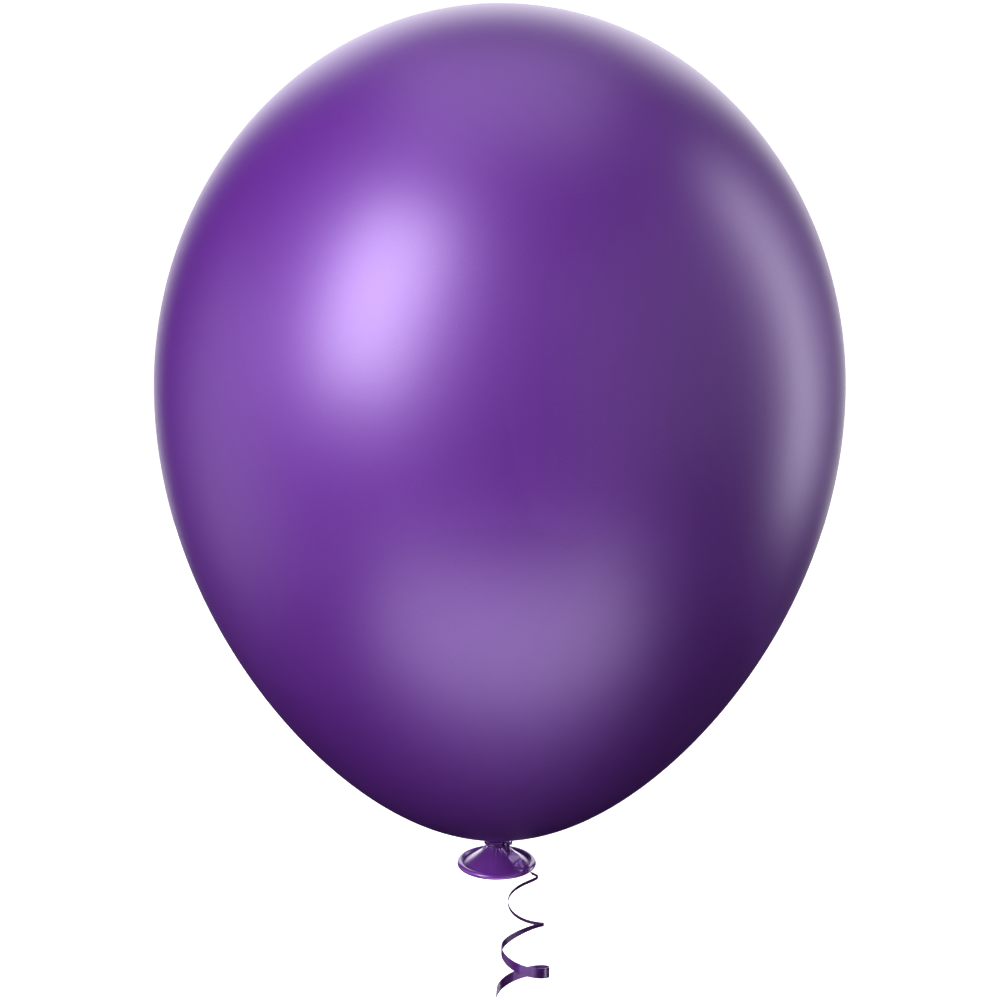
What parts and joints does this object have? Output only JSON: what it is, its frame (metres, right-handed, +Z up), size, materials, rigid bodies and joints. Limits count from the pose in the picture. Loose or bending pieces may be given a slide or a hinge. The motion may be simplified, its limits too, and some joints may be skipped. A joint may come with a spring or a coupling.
{
  "type": "latex balloon",
  "caption": "Inflated pearl latex balloon with a pinched neck, flared skirt and rolled rim, tied with a curling ribbon that hangs in a springy curl.",
  "frame": {"origin": "centre of the tied neck, at the middle of the ribbon's two turns", "axes": "+Z up the balloon's axis to the crown; -Y faces the front, from where the ribbon's curl hangs to the right of the axis"},
  "size_m": [0.2798, 0.2798, 0.425],
  "materials": {
    "pearl_latex_film": "pearlescent latex film, satin",
    "neck_latex": "unstretched pearl latex, glossy",
    "rim_latex": "rolled pearl latex, glossy",
    "ribbon_film": "glossy curling ribbon with fine lengthwise ribs"
  },
  "bodies": {
    "balloon": {"balloon_bulb": "pearl_latex_film", "pinched_neck": "neck_latex", "flared_skirt": "neck_latex", "rolled_rim": "rim_latex"},
    "tie": {"ribbon_wrap_upper": "ribbon_film", "ribbon_wrap_lower": "ribbon_film", "ribbon_knot": "ribbon_film", "ribbon_stub": "ribbon_film", "ribbon_lead": "ribbon_film"},
    "fold": {"ribbon_fold": "ribbon_film"},
    "tail": {"ribbon_drop": "ribbon_film", "ribbon_curl": "ribbon_film"},
    "tail_end": {"ribbon_tip": "ribbon_film"}
  },
  "joints": [
    {"name": "ribbon_turn", "type": "hinge", "parent": "balloon", "child": "tie", "pos_m": [0, 0, 0], "axis": [0, 0, 1], "range_deg": [-180, 180]},
    {"name": "tail_swing", "type": "hinge", "parent": "tie", "child": "fold", "pos_m": [0.01302, -0.01093, -0.01], "axis": [-0.6428, -0.766, 0], "range_deg": [-10, 70]},
    {"name": "tail_sway", "type": "hinge", "parent": "fold", "child": "tail", "pos_m": [0.01302, -0.01093, -0.01], "axis": [0.766, -0.6428, 0], "range_deg": [-15, 15]},
    {"name": "curl_stretch", "type": "slide", "parent": "tail", "child": "tail_end", "axis": [0, 0, -1], "range_m": [0, 0.06], "stiffness_N_per_m": 0.5, "deforming": ["ribbon_curl"]}
  ]
}
